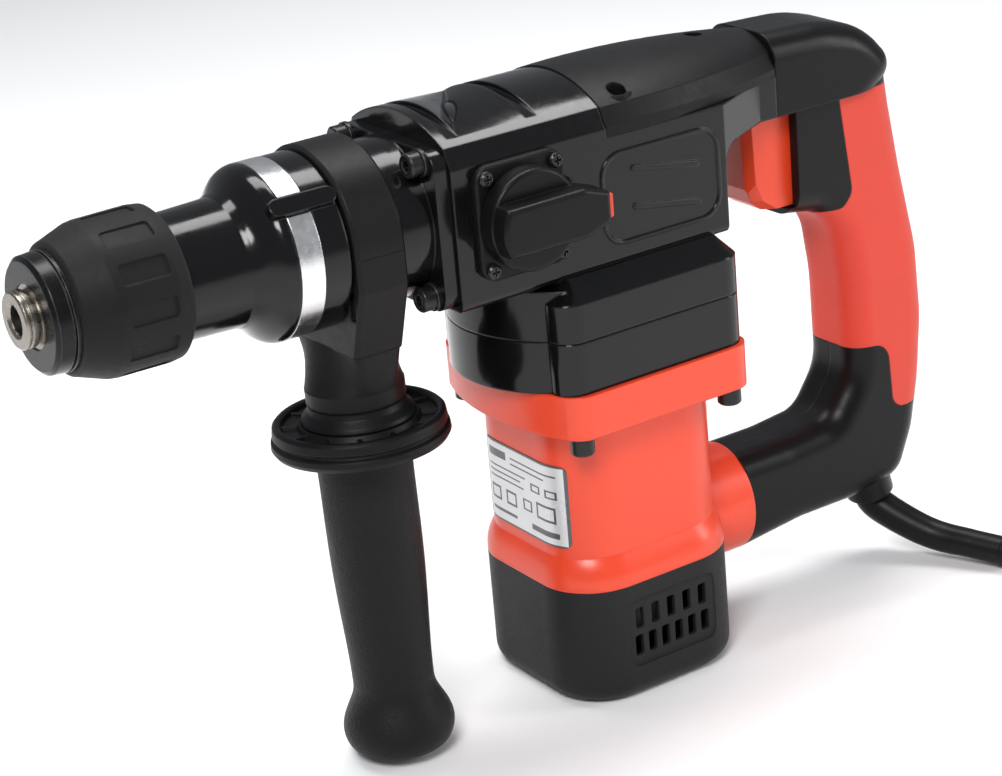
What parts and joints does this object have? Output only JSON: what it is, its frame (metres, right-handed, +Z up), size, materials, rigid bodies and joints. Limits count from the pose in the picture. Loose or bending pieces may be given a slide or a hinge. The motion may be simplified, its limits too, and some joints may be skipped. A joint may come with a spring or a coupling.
{
  "type": "rotary hammer",
  "caption": "Rotary hammer with an upright motor, D-handle, side handle and a sleeve chuck driven by a crank and bevel gears.",
  "frame": {"origin": "middle of the flat foot of the motor's base cap", "axes": "+Z up along the armature, -X along the tool axis out of the chuck, +X towards the D-handle, -Y towards the mode knob"},
  "size_m": [0.3842, 0.0969, 0.2344],
  "materials": {
    "steel": "turned and hardened, slightly oily",
    "bright_steel": "ground",
    "screw_zinc": "zinc plated",
    "screw_black": "black oxide",
    "black_metal": "satin black",
    "black_paint": "gloss black paint over a light casting",
    "aluminium": "bright turned",
    "laminated_steel": "stacked sheet",
    "copper": "turned copper",
    "brass": "pressed",
    "carbon": "pressed carbon",
    "orange_plastic": "moulded, gloss",
    "red_plastic": "moulded, semi-gloss",
    "red_rubber": "soft, satin",
    "black_rubber": "matt",
    "seal_rubber": "matt",
    "matt_plastic": "fine texture",
    "satin_plastic": "satin",
    "dark_plastic": "matt",
    "grey_plastic": "matt dark grey",
    "label_white": "printed foil without text"
  },
  "bodies": {
    "housing": {"front_barrel": "black_paint", "barrel_band": "aluminium", "flange_bolts": "screw_zinc", "flange_washers": "screw_zinc", "front_seal": "seal_rubber", "spindle_bearings": "bright_steel", "gear_bearings": "bright_steel", "motor_bearings": "bright_steel", "crankcase": "black_paint", "gear_cover": "black_paint", "motor_housing": "orange_plastic", "stator": "laminated_steel", "brush_holders": "brass", "brushes": "carbon", "base_cap": "grey_plastic", "base_screws": "screw_black", "flange_screws": "screw_black", "rating_label": "label_white", "top_cover": "matt_plastic", "cover_screws": "screw_black", "selector_plate": "matt_plastic", "selector_screws": "screw_zinc", "handle_shell_near": "satin_plastic", "handle_shell_far": "satin_plastic", "soft_grip": "red_rubber", "handle_screws": "screw_black", "switch_body": "dark_plastic", "cord_guard": "black_rubber"},
    "spindle": {"tool_holder": "steel", "cylinder": "steel", "bevel_ring": "steel", "nose_cap": "black_metal", "locking_balls": "bright_steel", "sleeve_spring": "steel"},
    "locking_sleeve": {"locking_sleeve": "black_rubber"},
    "armature": {"armature_shaft": "steel", "armature_core": "laminated_steel", "commutator": "copper", "fan": "dark_plastic"},
    "crank": {"crankshaft": "steel", "crank_gear": "steel"},
    "bevel_shaft": {"bevel_shaft": "steel", "intermediate_gear": "steel"},
    "connecting_rod": {"connecting_rod": "aluminium", "wrist_pin": "steel"},
    "piston": {"piston": "aluminium", "piston_ring": "seal_rubber"},
    "striker": {"striker": "steel", "striker_ring": "seal_rubber"},
    "impact_bolt": {"impact_bolt": "steel"},
    "mode_knob": {"mode_knob": "satin_plastic", "knob_insert": "red_plastic", "selector_shaft": "steel"},
    "trigger": {"trigger": "red_plastic", "trigger_spring": "steel"},
    "side_handle": {"side_clamp": "matt_plastic", "side_yoke": "matt_plastic", "side_bolt": "screw_zinc"},
    "side_grip": {"side_grip": "black_rubber", "guard_disc": "matt_plastic"}
  },
  "joints": [
    {"name": "armature_spin", "type": "hinge", "parent": "housing", "child": "armature", "pos_m": [0, 0, 0.097], "axis": [0, 0, 1], "continuous": true},
    {"name": "crank_spin", "type": "hinge", "parent": "housing", "child": "crank", "pos_m": [0.0176, 0, 0.157], "axis": [0, 0, 1], "continuous": true},
    {"name": "bevel_shaft_spin", "type": "hinge", "parent": "housing", "child": "bevel_shaft", "pos_m": [-0.024, 0, 0.157], "axis": [0, 0, 1], "continuous": true},
    {"name": "spindle_turn", "type": "hinge", "parent": "housing", "child": "spindle", "pos_m": [-0.12, 0, 0.197], "axis": [1, 0, 0], "continuous": true},
    {"name": "rod_swing", "type": "hinge", "parent": "crank", "child": "connecting_rod", "pos_m": [0.0226, 0, 0.197], "axis": [0, 0, 1], "continuous": true},
    {"name": "locking_sleeve_slide", "type": "slide", "parent": "spindle", "child": "locking_sleeve", "axis": [1, 0, 0], "range_m": [0, 0.006], "stiffness_N_per_m": 800, "springref_m": -0.012, "deforming": ["sleeve_spring"]},
    {"name": "piston_slide", "type": "slide", "parent": "housing", "child": "piston", "axis": [-1, 0, 0], "range_m": [0, 0.01]},
    {"name": "striker_slide", "type": "slide", "parent": "spindle", "child": "striker", "axis": [-1, 0, 0], "range_m": [0, 0.0055]},
    {"name": "impact_bolt_slide", "type": "slide", "parent": "spindle", "child": "impact_bolt", "axis": [-1, 0, 0], "range_m": [0, 0.003]},
    {"name": "mode_knob_turn", "type": "hinge", "parent": "housing", "child": "mode_knob", "pos_m": [-0.0485, -0.04, 0.197], "axis": [0, -1, 0], "range_deg": [-90, 90]},
    {"name": "trigger_squeeze", "type": "slide", "parent": "housing", "child": "trigger", "axis": [1, 0, 0], "range_m": [0, 0.006], "stiffness_N_per_m": 900, "springref_m": -0.006, "deforming": ["trigger_spring"]},
    {"name": "side_handle_turn", "type": "hinge", "parent": "housing", "child": "side_handle", "pos_m": [-0.1022, 0, 0.197], "axis": [1, 0, 0], "continuous": true},
    {"name": "side_grip_turn", "type": "hinge", "parent": "side_handle", "child": "side_grip", "pos_m": [-0.1022, -0.00412, 0.09709], "axis": [0, -0.0412, -0.9992], "continuous": true}
  ],
  "couplings": [
    {"joint": "crank_spin", "follows": "armature_spin", "ratio": -0.29412},
    {"joint": "rod_swing", "follows": "armature_spin", "ratio": 0.29412},
    {"joint": "bevel_shaft_spin", "follows": "armature_spin", "ratio": -0.2},
    {"joint": "spindle_turn", "follows": "armature_spin", "ratio": 0.05}
  ]
}
